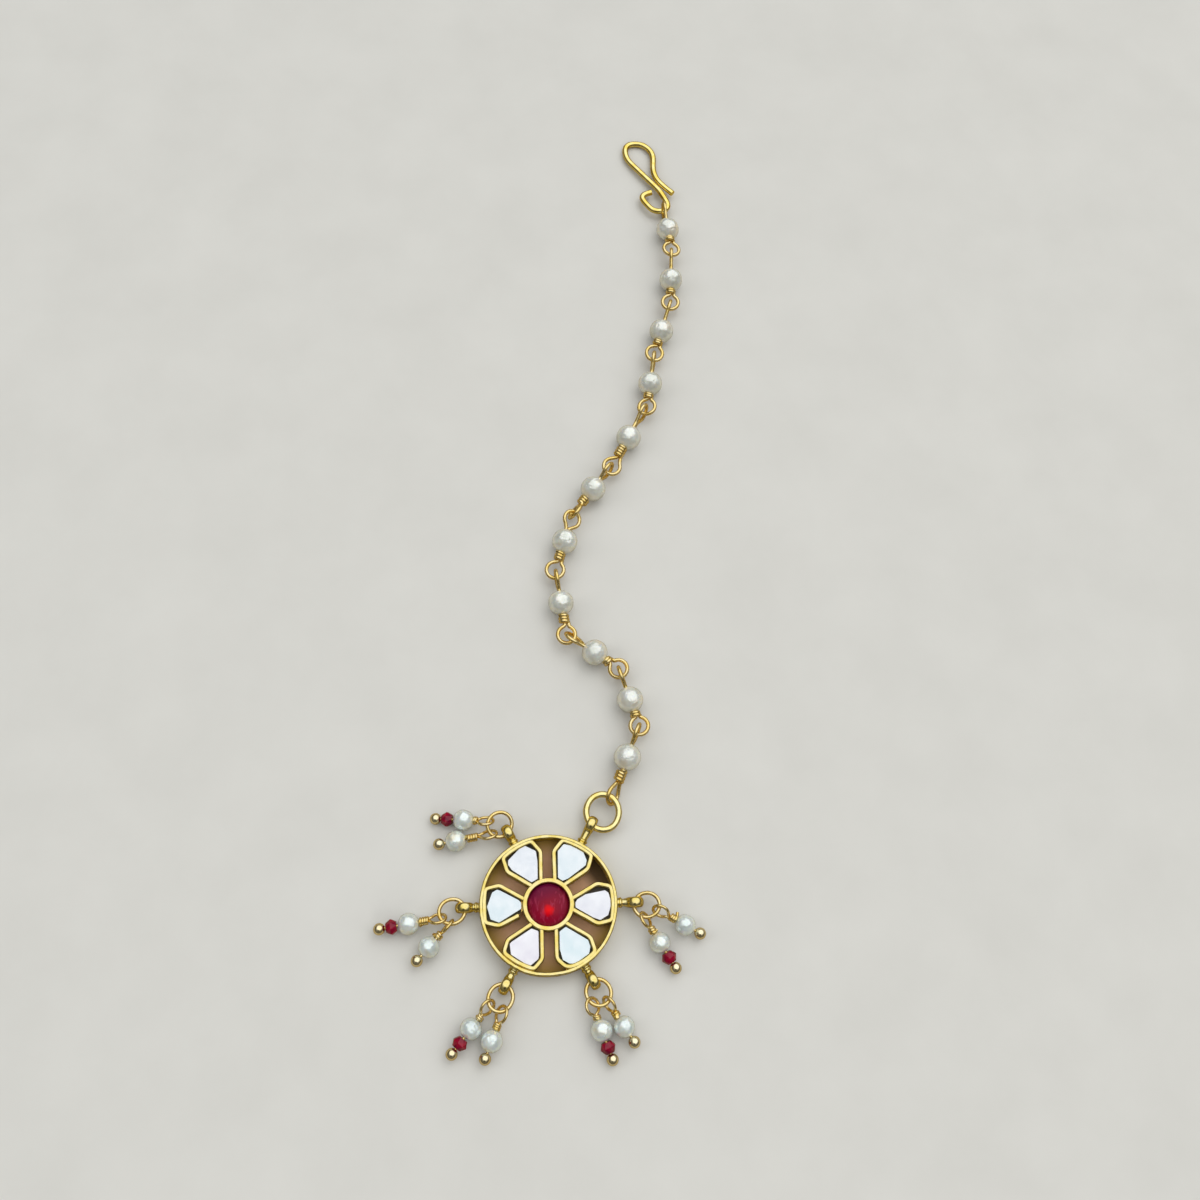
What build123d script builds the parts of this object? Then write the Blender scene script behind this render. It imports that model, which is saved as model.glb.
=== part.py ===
from build123d import *
from math import cos, radians, sin
import os

os.makedirs("parts", exist_ok=True)

# A maang tikka lying flat: a round pendant of set petals, five pairs of little drops, a chain of
# eleven wired pearls and a hair hook. Lengths are in millimetres and angles in degrees. The origin is
# the middle of the pendant's flat back, +Z is up from the surface it lies on, and +Y points between
# the two top petals, along the chain. Headings are counter-clockwise from +X, seen from above.

# --- Pendant -------------------------------------------------------------------------------------
pendant_radius = 10.0
pendant_height = 2.8
wall = 0.55  # rim band, petal cups and centre cup alike
petal_count = 6
petal_step = 360 / petal_count
centre_cup_radius = 3.7
seat_height = 1.3  # top of the closed bottom that the stones are bedded on
stone_play = 0.12  # gap between a stone and its cup
bed = 0.1  # gap between a stone and its seat

# A petal stone, from its narrow end near the middle to its broad end at the rim
petal_inner_reach = 4.15
petal_inner_half = 0.35
petal_corner_reach = 4.45
petal_corner_half = 0.85
petal_shoulder_reach = 7.4
petal_shoulder_half = 2.3
petal_outer_reach = 8.9
petal_outer_half = 1.5
petal_thickness = 1.05
petal_bevel = 0.22

centre_stone_radius = centre_cup_radius - wall - stone_play
centre_girdle = 0.75
centre_dome = 0.8

# Lugs: a stem from the rim to a barrel-shaped eyelet whose hole runs along the rim
lug_height = 1.4
stem_radius = 0.55
collar_radius = 0.72
collar_thickness = 0.35
collar_gap = 0.35  # from the rim to the collar
eye_radius = 0.905  # middle of the eyelet's wall
eye_wall_half = 0.28
eye_width_half = 0.62

# --- Rings ---------------------------------------------------------------------------------------
link_ring_radius = 2.55  # middle of the wire
link_ring_wire = 0.375
drop_ring_radius = 1.8
drop_ring_wire = 0.25
touch = 0.1  # clearance left where two wires hang in each other

# --- Chain of wired pearls -----------------------------------------------------------------------
pearl_radius = 2.05
pearl_bore = 0.38
core_radius = 0.25
loop_radius = 1.38
loop_wire = 0.27
wrap_wire = 0.24
wrap_pitch = 0.42
loop_reach = loop_radius + loop_wire
taut = 2 * (loop_radius - loop_wire) - touch  # between the middles of two loops pulled tight

# --- Drops ---------------------------------------------------------------------------------------
drop_pearl_radius = 1.55
drop_pearl_bore = 0.28
drop_core = 0.16
drop_loop_radius = 1.15
drop_loop_wire = 0.17
drop_wrap_wire = 0.15
drop_wrap_pitch = 0.27
drop_inside = 0.42  # from the middle of a drop's loop to the ring wire that it hangs on
bead_radius = 1.15
bead_length = 1.6
bead_end_radius = 0.7
bead_sides = 8
ball_radius = 0.85
bead_gap = 0.1

# --- Hair hook -----------------------------------------------------------------------------------
hook_wire = 0.475
hook_tilt = 3.2  # its eye is held up by the last loop of the chain
hook_turn = 11.0  # its heading, past that of the last link

# Route of the wire's middle, across and along the hook, from the free tip round to the eye
hook_route = (
    (3.45, 1.6),
    (1.3, 6.0),
    (3.35, 11.6),
    (2.0, 14.1),
    (-1.0, 15.1),
    (-2.15, 11.9),
    (1.5, 2.7),
    (2.1, -2.1),
    (-1.2, -1.7),
    (-2.5, 2.7),
    (-0.3, 2.8),
)
hook_bends = (6, 4.5, 1.6, 1.3, 4.5, 8, 1.3, 1.9, 0.8)
hook_hold = (0.7, -1.72)  # where the last loop holds the eye

# Where each lug's eyelet lies: its heading and how far out. The chain's lug comes first.
chain_lug = dict(heading=60, reach=13.2)
drop_lugs = (
    dict(heading=0, reach=12.6),
    dict(heading=118.5, reach=12.0),
    dict(heading=180, reach=12.2),
    dict(heading=240, reach=12.6),
    dict(heading=300, reach=12.3),
)

# How each drop ring lies off its lug, and how its two drops lie off the ring. "at" is where on the
# ring the drop hangs, from the ring's outermost point; "turn" is its heading from that of the lug.
drop_rows = (
    dict(
        turn=-16,
        tilt=11,
        drops=(
            dict(at=-90, turn=-59, twist=-60, tilt=-7, neck=0.9, red=True),
            dict(at=-9, turn=-30, twist=59, tilt=-7, neck=1.2, red=False),
        ),
    ),
    dict(
        turn=17,
        tilt=16,
        drops=(
            dict(at=26, turn=56, twist=54, tilt=-9, neck=0.5, red=True),
            dict(at=94, turn=70, twist=54, tilt=-5, neck=2.1, red=False),
        ),
    ),
    dict(
        turn=15,
        tilt=4,
        drops=(
            dict(at=14, turn=8, twist=54, tilt=-1, neck=1.4, red=True),
            dict(at=63, turn=47, twist=78, tilt=-1, neck=0.9, red=False),
        ),
    ),
    dict(
        turn=6,
        tilt=5,
        drops=(
            dict(at=-37, turn=-10, twist=-55, tilt=-2, neck=0.7, red=True),
            dict(at=33, turn=8, twist=50, tilt=-4, neck=0.9, red=False),
        ),
    ),
    dict(
        turn=-7,
        tilt=9,
        drops=(
            dict(at=-59, turn=-10, twist=-38, tilt=-8, neck=0.6, red=True),
            dict(at=21, turn=3, twist=64, tilt=-5, neck=0.8, red=False),
        ),
    ),
)

# The big ring off its lug, and the chain's links from the pendant to the hook. "lower" and "upper" are
# the necks of bare and wrapped wire below and above the pearl, and "slack" is how far the link after
# it is pushed back from taut. Twists turn a loop from lying flat (0) to standing on edge (90).
link_ring_row = dict(heading=46, tilt=2, chain_at=8, slack=0.2)
link_rows = (
    dict(heading=67, tilt=5, lower=2.4, upper=0.3, slack=0.8, lower_twist=60, upper_twist=85),
    dict(heading=107, tilt=3, lower=0.6, upper=0.3, slack=0.8, lower_twist=0, upper_twist=80),
    dict(heading=144, tilt=3, lower=0.8, upper=0.3, slack=0.8, lower_twist=-10, upper_twist=60),
    dict(heading=98, tilt=3, lower=1.6, upper=0.3, slack=0.35, lower_twist=0, upper_twist=90),
    dict(heading=71, tilt=3, lower=1.4, upper=0.3, slack=0.45, lower_twist=0, upper_twist=30),
    dict(heading=52, tilt=3, lower=1.3, upper=0.3, slack=0.8, lower_twist=-65, upper_twist=85),
    dict(heading=60, tilt=3, lower=2.3, upper=1.5, slack=0.5, lower_twist=10, upper_twist=80),
    dict(heading=80, tilt=3, lower=0.7, upper=0.8, slack=0.4, lower_twist=-15, upper_twist=85),
    dict(heading=72, tilt=3, lower=0.8, upper=0.9, slack=0.4, lower_twist=5, upper_twist=95),
    dict(heading=86, tilt=3, lower=0.8, upper=0.9, slack=0.4, lower_twist=0, upper_twist=85),
    dict(heading=95, tilt=-4, lower=0.8, upper=0.6, slack=0.0, lower_twist=10, upper_twist=90),
)


def direction(heading, tilt=0):
    # Unit vector at a heading, raised by a tilt.
    level = cos(radians(tilt))
    return Vector(level * cos(radians(heading)), level * sin(radians(heading)), sin(radians(tilt)))


def strand_plane(origin, heading, tilt=0, twist=0):
    # X runs along the strand and Z is the normal of a loop twisted about it.
    forward = direction(heading, tilt)
    upright = direction(heading, tilt + 90)
    aside = upright.cross(forward)
    normal = upright * cos(radians(twist)) - aside * sin(radians(twist))
    return Plane(origin=origin, x_dir=forward, z_dir=normal)


def lug_eye(lug):
    # Middle of a lug's eyelet.
    return direction(lug["heading"]) * lug["reach"] + Vector(0, 0, lug_height)


def finish(part, name):
    # Name a finished piece and write it.
    part.label = name
    export_step(part, f"parts/{name}.step")
    print(name, round(part.volume, 2), "mm3")


def petal_outline(grow=0):
    # Eight-sided outline of a petal stone along +X, grown on every side.
    upper = [
        (petal_inner_reach, petal_inner_half),
        (petal_corner_reach, petal_corner_half),
        (petal_shoulder_reach, petal_shoulder_half),
        (petal_outer_reach, petal_outer_half),
    ]
    lower = [(reach, -half) for reach, half in reversed(upper)]
    with BuildSketch() as outline:
        Polygon(*upper, *lower, align=None)
        if grow:
            offset(amount=grow, kind=Kind.INTERSECTION)
    return outline.sketch


def make_frame():
    # Rim, petal cups, centre cup and lugs, soldered into one piece.
    cup = petal_outline(stone_play + wall)
    pocket = petal_outline(stone_play)
    pocket_depth = pendant_height - seat_height
    with BuildPart() as pendant_frame:
        with BuildSketch():
            Circle(pendant_radius)
            Circle(pendant_radius - wall, mode=Mode.SUBTRACT)
            with PolarLocations(0, petal_count):
                add(cup)
            Circle(centre_cup_radius)
            Circle(pendant_radius, mode=Mode.INTERSECT)
        extrude(amount=pendant_height)
        for lug in (chain_lug, *drop_lugs):
            add_lug(lug)
        with BuildSketch(Plane.XY.offset(seat_height)):
            Circle(centre_cup_radius - wall)
            with PolarLocations(0, petal_count):
                add(pocket)
        extrude(amount=pocket_depth, mode=Mode.SUBTRACT)
    finish(pendant_frame.part, "pendant_frame")


def add_lug(lug):
    # Stem, collar and barrel eyelet, joined to the part under construction.
    outward = direction(lug["heading"])
    lift = Vector(0, 0, lug_height)
    stem_start = pendant_radius - wall
    collar_start = pendant_radius + collar_gap
    with BuildSketch(Plane(origin=outward * stem_start + lift, z_dir=outward)) as stem:
        Circle(stem_radius)
    extrude(stem.sketch, amount=lug["reach"] - eye_radius - stem_start)
    with BuildSketch(Plane(origin=outward * collar_start + lift, z_dir=outward)) as collar:
        Circle(collar_radius)
    extrude(collar.sketch, amount=collar_thickness)
    eye = lug_eye(lug)
    along_rim = Vector(-outward.Y, outward.X, 0)
    with BuildSketch(Plane(origin=eye, x_dir=outward, z_dir=(0, 0, 1))) as section:
        with Locations((eye_radius, 0)):
            Ellipse(eye_wall_half, eye_width_half)
    revolve(section.sketch, axis=Axis(eye, along_rim))


def make_petal_stone(number):
    # Flat mirror-cut stone: a table, eight bevelled facets and a straight girdle.
    base = Plane.XY.offset(seat_height + bed).rotated((0, 0, number * petal_step))
    with BuildPart() as stone:
        with BuildSketch(base):
            add(petal_outline())
        extrude(amount=petal_thickness)
        chamfer(stone.edges().group_by(Axis.Z)[-1], length=petal_bevel)
    finish(stone.part, f"petal_stone_{number + 1}")


def make_centre_stone():
    # Round stone with a straight girdle and a low dome.
    height = centre_girdle + centre_dome
    curve = (centre_stone_radius**2 + centre_dome**2) / (2 * centre_dome)
    with BuildPart() as stone:
        with Locations((0, 0, seat_height + bed)):
            Cylinder(centre_stone_radius, height, align=(Align.CENTER, Align.CENTER, Align.MIN))
        with Locations((0, 0, seat_height + bed + height - curve)):
            Sphere(curve, mode=Mode.INTERSECT)
    finish(stone.part, "centre_stone")


def make_ring(plane, radius, wire, name):
    # A closed round ring lying in a plane.
    with BuildPart() as ring:
        with Locations(plane):
            Torus(radius, wire)
    finish(ring.part, name)


def add_spindle(plane, length, core, wraps, wrap_radius, ball=0):
    # Wire along the plane's X from its origin, with wrapped turns at the given places and a ball end.
    with BuildSketch(plane) as profile:
        Rectangle(length, 2 * core, align=(Align.MIN, Align.CENTER))
        with Locations(*[(place, core + 0.8 * wrap_radius) for place in wraps]):
            Circle(wrap_radius)
        if ball:
            with Locations((length, 0)):
                Circle(ball)
        Rectangle(4 * length, length, align=(Align.CENTER, Align.MIN), mode=Mode.INTERSECT)
    revolve(profile.sketch, axis=Axis(plane.origin, plane.x_dir))


def make_pearl(plane, radius, bore, name):
    # Pearl drilled along the plane's X: a disc's outer segment turned about the bore.
    with BuildPart() as pearl:
        with BuildSketch(plane) as profile:
            Circle(radius)
            with Locations((0, bore)):
                Rectangle(2 * radius, radius, align=(Align.CENTER, Align.MIN), mode=Mode.INTERSECT)
        revolve(profile.sketch, axis=Axis(plane.origin, plane.x_dir))
    finish(pearl.part, name)


def make_link(lower, pearl, upper, row, number):
    # One bent wire: two loops with the core between them, wrapped below and above the pearl.
    heading, tilt = row["heading"], row["tilt"]
    forward = direction(heading, tilt)
    start = lower + forward * loop_radius
    length = (upper - lower).length - 2 * loop_radius
    middle = (pearl - start).length
    first_wrap = middle - pearl_radius - wrap_wire - bead_gap
    wraps = [first_wrap]
    if row["lower"] > bead_gap + 2 * wrap_wire + wrap_pitch:
        wraps.append(first_wrap - wrap_pitch)
    with BuildPart() as link:
        with Locations(strand_plane(lower, heading, tilt, row["lower_twist"])):
            Torus(loop_radius, loop_wire)
        with Locations(strand_plane(upper, heading, tilt, row["upper_twist"])):
            Torus(loop_radius, loop_wire)
        add_spindle(strand_plane(start, heading, tilt), length, core_radius, wraps, wrap_wire)
    finish(link.part, f"chain_link_{number:02d}")


def make_chain():
    # The big ring on its lug, then each link laid from the one before, and the hook on the last.
    ring_heading, ring_tilt = link_ring_row["heading"], link_ring_row["tilt"]
    eye = lug_eye(chain_lug)
    ring_middle = eye + direction(ring_heading, ring_tilt) * link_ring_radius
    ring_plane = strand_plane(ring_middle, ring_heading, ring_tilt)
    make_ring(ring_plane, link_ring_radius, link_ring_wire, "link_ring")
    hold = ring_point(ring_plane, link_ring_radius, link_ring_row["chain_at"])
    inside = loop_radius - loop_wire - link_ring_wire - touch - link_ring_row["slack"]
    lower = hold + direction(link_rows[0]["heading"]) * inside
    for number, row in enumerate(link_rows, start=1):
        forward = direction(row["heading"], row["tilt"])
        reach = pearl_radius + row["lower"] + loop_reach
        flat = direction(row["heading"]) * (reach * cos(radians(row["tilt"])))
        pearl = Vector(lower.X, lower.Y, 0) + flat + Vector(0, 0, pearl_radius)
        lower = pearl - forward * reach
        upper = pearl + forward * (pearl_radius + row["upper"] + loop_reach)
        make_link(lower, pearl, upper, row, number)
        pearl_plane = strand_plane(pearl, row["heading"], row["tilt"])
        make_pearl(pearl_plane, pearl_radius, pearl_bore, f"chain_pearl_{number:02d}")
        lower = upper + direction(row["heading"]) * (taut - row["slack"])
    make_hook(upper, row["heading"])


def ring_point(plane, radius, at):
    # Point on a ring's wire, at an angle from its outermost point.
    return plane.from_local_coords((radius * cos(radians(at)), radius * sin(radians(at)), 0))


def make_hook(loop, heading):
    # Hair hook: an open loop whose wire turns back to a free tip at one end and an eye at the other.
    inside = loop_radius - loop_wire - hook_wire - 2 * touch
    hold = loop + direction(heading) * inside
    forward_plane = strand_plane((0, 0, 0), heading + hook_turn, -hook_tilt)
    across = forward_plane.y_dir * -1
    lift = max(along for _, along in hook_route) * sin(radians(hook_tilt))
    corner = across * hook_hold[0] + forward_plane.x_dir * hook_hold[1]
    origin = Vector(hold.X, hold.Y, 0) - Vector(corner.X, corner.Y, 0)
    origin += Vector(0, 0, hook_wire + lift)
    plane = Plane(origin=origin, x_dir=across, z_dir=forward_plane.z_dir)
    with BuildPart() as hook:
        with BuildLine(plane) as route:
            FilletPolyline(*hook_route, radius=hook_bends)
        with BuildSketch(Plane(origin=route.line @ 0, z_dir=route.line % 0)):
            Circle(hook_wire)
        sweep()
    finish(hook.part, "hair_hook")


def drop_layout(lug, row, drop, ring_plane):
    # Middles of a drop's loop and pearl; the pearl rests on the surface.
    heading = lug["heading"] + drop["turn"]
    forward = direction(heading, drop["tilt"])
    loop = ring_point(ring_plane, drop_ring_radius, drop["at"]) + forward * drop_inside
    reach = drop_loop_radius + drop_loop_wire + drop["neck"] + drop_pearl_radius
    pearl = loop + forward * reach
    rest = Vector(0, 0, drop_pearl_radius - pearl.Z)
    return heading, loop + rest, pearl + rest


def add_drop_pin(heading, loop, pearl, drop):
    # Head pin: a ball end, the wire through the beads, a wrapped neck and a loop.
    forward = direction(heading, drop["tilt"])
    start = loop + forward * drop_loop_radius
    middle = (pearl - start).length
    string = drop_pearl_radius + bead_gap
    if drop["red"]:
        string += bead_length + bead_gap
    length = middle + string + ball_radius
    first_wrap = middle - drop_pearl_radius - drop_wrap_wire - bead_gap
    wraps = [first_wrap - turn * drop_wrap_pitch for turn in range(2)]
    with Locations(strand_plane(loop, heading, drop["tilt"], drop["twist"])):
        Torus(drop_loop_radius, drop_loop_wire)
    spindle = strand_plane(start, heading, drop["tilt"])
    add_spindle(spindle, length, drop_core, wraps, drop_wrap_wire, ball_radius)


def make_red_bead(plane, name):
    # Faceted bicone bead: sixteen facets between two small flat ends, drilled along its length.
    end_plane = Plane(origin=plane.origin, x_dir=plane.y_dir, z_dir=plane.x_dir)
    half = bead_length / 2
    with BuildPart() as bead:
        for side in (-half, half):
            with BuildSketch(end_plane):
                RegularPolygon(bead_radius, bead_sides)
            with BuildSketch(end_plane.offset(side)):
                RegularPolygon(bead_end_radius, bead_sides)
            loft()
        with Locations(end_plane):
            Cylinder(drop_pearl_bore, 2 * bead_length, mode=Mode.SUBTRACT)
    finish(bead.part, name)


def make_drop_pair(number, lug, row):
    # One lug's ring with its two drops: both with a pearl, one with a red bead as well.
    eye = lug_eye(lug)
    heading = lug["heading"] + row["turn"]
    middle = eye + direction(heading, row["tilt"]) * drop_ring_radius
    ring_plane = strand_plane(middle, heading, row["tilt"])
    make_ring(ring_plane, drop_ring_radius, drop_ring_wire, f"drop_ring_{number}")
    places = [drop_layout(lug, row, drop, ring_plane) for drop in row["drops"]]
    with BuildPart() as pins:
        for drop, (drop_heading, loop, pearl) in zip(row["drops"], places):
            add_drop_pin(drop_heading, loop, pearl, drop)
    finish(pins.part, f"drop_pins_{number}")
    for letter, drop, (drop_heading, loop, pearl) in zip("ab", row["drops"], places):
        forward = direction(drop_heading, drop["tilt"])
        pearl_plane = strand_plane(pearl, drop_heading, drop["tilt"])
        make_pearl(pearl_plane, drop_pearl_radius, drop_pearl_bore, f"drop_pearl_{number}{letter}")
        if drop["red"]:
            bead = pearl + forward * (drop_pearl_radius + bead_gap + bead_length / 2)
            make_red_bead(strand_plane(bead, drop_heading, drop["tilt"]), f"drop_red_bead_{number}")


make_frame()
for petal in range(petal_count):
    make_petal_stone(petal)
make_centre_stone()
make_chain()
for pair, (pair_lug, pair_row) in enumerate(zip(drop_lugs, drop_rows), start=1):
    make_drop_pair(pair, pair_lug, pair_row)
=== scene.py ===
import random
from math import acos, atan2, ceil, cos, degrees, exp, floor, pi, radians, sin, sqrt, tan
import bmesh
import bpy
from mathutils import Matrix, Vector


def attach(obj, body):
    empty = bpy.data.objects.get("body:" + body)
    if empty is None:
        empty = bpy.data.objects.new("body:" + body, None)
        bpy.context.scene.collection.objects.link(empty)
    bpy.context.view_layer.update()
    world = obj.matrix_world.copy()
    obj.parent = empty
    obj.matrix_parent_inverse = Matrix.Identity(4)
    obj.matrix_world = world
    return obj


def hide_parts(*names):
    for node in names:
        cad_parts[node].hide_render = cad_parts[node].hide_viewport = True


# A maang tikka lying flat on a pale floor. Shapes are worked out in millimetres and headings in
# degrees, counter-clockwise from +X; every mesh is brought to metres when its piece is finished.

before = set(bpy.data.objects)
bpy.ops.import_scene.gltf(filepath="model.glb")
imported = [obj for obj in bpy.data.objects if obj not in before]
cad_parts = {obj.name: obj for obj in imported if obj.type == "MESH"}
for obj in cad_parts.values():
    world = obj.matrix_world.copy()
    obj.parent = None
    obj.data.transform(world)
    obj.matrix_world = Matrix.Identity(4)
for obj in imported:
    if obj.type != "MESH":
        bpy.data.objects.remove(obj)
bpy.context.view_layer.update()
print("frame loaded:", len(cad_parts), "nodes")


def direction(heading, tilt=0):
    level = cos(radians(tilt))
    return Vector((level * cos(radians(heading)), level * sin(radians(heading)), sin(radians(tilt))))


def strandPlace(origin, heading, tilt=0, twist=0):
    # X runs along the strand; Z is the normal of a loop turned about it by the twist
    forward = direction(heading, tilt)
    upright = direction(heading, tilt + 90)
    aside = upright.cross(forward)
    normal = upright * cos(radians(twist)) - aside * sin(radians(twist))
    place = Matrix((forward, normal.cross(forward), normal)).transposed().to_4x4()
    place.translation = origin
    return place


def bendRoute(corners, bends, closed=False, turnStep=9):
    # rounds the corners of a flat route with arcs; a corner all but straight is left as it is
    straight = 0.02
    points = [Vector(corner) for corner in corners]
    count = len(points)
    if not isinstance(bends, tuple):
        bends = (bends,) * count
    route = [] if closed else [points[0]]
    inner = range(count) if closed else range(1, count - 1)
    for index in inner:
        before, here, after = points[index - 1], points[index], points[(index + 1) % count]
        arrive, leave = (here - before).normalized(), (after - here).normalized()
        turn = arrive.angle(leave, 0)
        if turn < straight:
            route.append(here)
            continue
        bend = bends[index] if closed else bends[index - 1]
        reach = bend * tan(turn / 2)
        reach = min(reach, 0.49 * (here - before).length, 0.49 * (after - here).length)
        bend = reach / tan(turn / 2)
        start, end = here - arrive * reach, here + leave * reach
        middle = here + (leave - arrive).normalized() * (bend / cos(turn / 2))
        steps = max(2, ceil(degrees(turn) / turnStep))
        for step in range(steps + 1):
            spoke = (start - middle).slerp(end - middle, step / steps)
            route.append(middle + spoke * bend)
    if not closed:
        route.append(points[-1])
    return route


def relaxRoute(points, step, rounds):
    # even spacing along the route, then a little smoothing between its two ends
    lengths = [0.0]
    for first, second in zip(points, points[1:]):
        lengths.append(lengths[-1] + (second - first).length)
    count = max(4, round(lengths[-1] / step))
    even, leg = [], 0
    for index in range(count + 1):
        target = lengths[-1] * index / count
        while leg < len(points) - 2 and lengths[leg + 1] < target:
            leg += 1
        share = (target - lengths[leg]) / max(1e-9, lengths[leg + 1] - lengths[leg])
        even.append(points[leg].lerp(points[leg + 1], min(1.0, share)))
    for _ in range(rounds):
        smoother = [even[i] * 0.5 + (even[i - 1] + even[i + 1]) * 0.25 for i in range(1, len(even) - 1)]
        even = [even[0], *smoother, even[-1]]
    return even


# layout of the strands, the same as in the part's source
pendant = dict(radius=10.0, height=2.8, stoneTop=2.42)
lugSizes = dict(height=1.4, stem=0.6, collar=0.8, collarThick=0.35, collarGap=0.3,
                eyeRadius=0.905, wallHalf=0.41, widthHalf=0.72, bail=0.74)
chainLug = dict(heading=60, reach=13.2)
dropLugs = (
    dict(heading=0, reach=12.6),
    dict(heading=118.5, reach=12.0),
    dict(heading=180, reach=12.2),
    dict(heading=240, reach=12.6),
    dict(heading=300, reach=12.3),
)
bigRing = dict(radius=2.55, wire=0.375, heading=46, tilt=2, chainAt=8, slack=0.2)
dropRing = dict(radius=1.8, wire=0.26)
touch = 0.1  # clearance left where two wires hang in each other
chain = dict(pearl=2.05, bore=0.38, loop=1.38, wire=0.27)
drop = dict(pearl=1.55, bore=0.28, loop=1.15, wire=0.17, inside=0.42,
            bead=1.15, beadLength=1.6, beadEnd=0.7, ball=0.85, gap=0.1)
dropRows = (
    dict(turn=-16, tilt=11, drops=(
        dict(at=-90, turn=-59, twist=-60, tilt=-7, neck=0.9, red=True),
        dict(at=-9, turn=-30, twist=59, tilt=-7, neck=1.2, red=False))),
    dict(turn=17, tilt=16, drops=(
        dict(at=26, turn=56, twist=54, tilt=-9, neck=0.5, red=True),
        dict(at=94, turn=70, twist=54, tilt=-5, neck=2.1, red=False))),
    dict(turn=15, tilt=4, drops=(
        dict(at=14, turn=8, twist=54, tilt=-1, neck=1.4, red=True),
        dict(at=63, turn=47, twist=78, tilt=-1, neck=0.9, red=False))),
    dict(turn=6, tilt=5, drops=(
        dict(at=-37, turn=-10, twist=-55, tilt=-2, neck=0.7, red=True),
        dict(at=33, turn=8, twist=50, tilt=-4, neck=0.9, red=False))),
    dict(turn=-7, tilt=9, drops=(
        dict(at=-59, turn=-10, twist=-38, tilt=-8, neck=0.6, red=True),
        dict(at=21, turn=3, twist=64, tilt=-5, neck=0.8, red=False))),
)
linkRows = (
    dict(heading=67, tilt=5, lower=2.4, upper=0.3, slack=0.8, lowerTwist=60, upperTwist=85),
    dict(heading=107, tilt=3, lower=0.6, upper=0.3, slack=0.8, lowerTwist=0, upperTwist=80),
    dict(heading=144, tilt=3, lower=0.8, upper=0.3, slack=0.8, lowerTwist=-10, upperTwist=60),
    dict(heading=98, tilt=3, lower=1.6, upper=0.3, slack=0.35, lowerTwist=0, upperTwist=90),
    dict(heading=71, tilt=3, lower=1.4, upper=0.3, slack=0.45, lowerTwist=0, upperTwist=30),
    dict(heading=52, tilt=3, lower=1.3, upper=0.3, slack=0.8, lowerTwist=-65, upperTwist=85),
    dict(heading=60, tilt=3, lower=2.3, upper=1.5, slack=0.5, lowerTwist=10, upperTwist=80),
    dict(heading=80, tilt=3, lower=0.7, upper=0.8, slack=0.4, lowerTwist=-15, upperTwist=85),
    dict(heading=72, tilt=3, lower=0.8, upper=0.9, slack=0.4, lowerTwist=5, upperTwist=95),
    dict(heading=86, tilt=3, lower=0.8, upper=0.9, slack=0.4, lowerTwist=0, upperTwist=85),
    dict(heading=95, tilt=-4, lower=0.8, upper=0.6, slack=0.0, lowerTwist=10, upperTwist=90),
)
hook = dict(
    wire=0.475, tilt=3.2, turn=11.0, hold=(0.7, -1.72),
    route=((3.45, 1.6), (1.3, 6.0), (3.35, 11.6), (2.0, 14.1), (-1.0, 15.1), (-2.15, 11.9),
           (1.5, 2.7), (2.1, -2.1), (-1.2, -1.7), (-2.5, 2.7), (-0.3, 2.8)),
    bends=(6, 4.5, 1.6, 1.3, 4.5, 8, 1.3, 1.9, 0.8),
)


def lugEye(lug):
    return direction(lug["heading"]) * lug["reach"] + Vector((0, 0, lugSizes["height"]))


def ringPoint(place, radius, at, rise=0):
    return place @ Vector((radius * cos(radians(at)), radius * sin(radians(at)), rise))


def layChain():
    # the big ring's place, the places along each link, and the hook's place
    middle = lugEye(chainLug) + direction(bigRing["heading"], bigRing["tilt"]) * bigRing["radius"]
    ringPlace = strandPlace(middle, bigRing["heading"], bigRing["tilt"])
    hold = ringPoint(ringPlace, bigRing["radius"], bigRing["chainAt"])
    inside = chain["loop"] - chain["wire"] - bigRing["wire"] - touch - bigRing["slack"]
    taut = 2 * (chain["loop"] - chain["wire"]) - touch
    loopReach = chain["loop"] + chain["wire"]
    lower = hold + direction(linkRows[0]["heading"]) * inside
    links = []
    for row in linkRows:
        forward = direction(row["heading"], row["tilt"])
        reach = chain["pearl"] + row["lower"] + loopReach
        flat = direction(row["heading"]) * (reach * cos(radians(row["tilt"])))
        pearl = Vector((lower.x, lower.y, 0)) + flat + Vector((0, 0, chain["pearl"]))
        lower = pearl - forward * reach
        upper = pearl + forward * (chain["pearl"] + row["upper"] + loopReach)
        links.append(dict(row=row, lower=lower, pearl=pearl, upper=upper, forward=forward))
        lower = upper + direction(row["heading"]) * (taut - row["slack"])
    inside = chain["loop"] - chain["wire"] - hook["wire"] - 2 * touch
    hold = upper + direction(row["heading"]) * inside
    flat = strandPlace((0, 0, 0), row["heading"] + hook["turn"], -hook["tilt"])
    along, across = flat.col[0].to_3d(), -flat.col[1].to_3d()
    lift = max(corner[1] for corner in hook["route"]) * sin(radians(hook["tilt"]))
    corner = across * hook["hold"][0] + along * hook["hold"][1]
    origin = Vector((hold.x - corner.x, hold.y - corner.y, hook["wire"] + lift))
    hookPlace = Matrix((across, along, across.cross(along))).transposed().to_4x4()
    hookPlace.translation = origin
    return ringPlace, links, hookPlace


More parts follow.
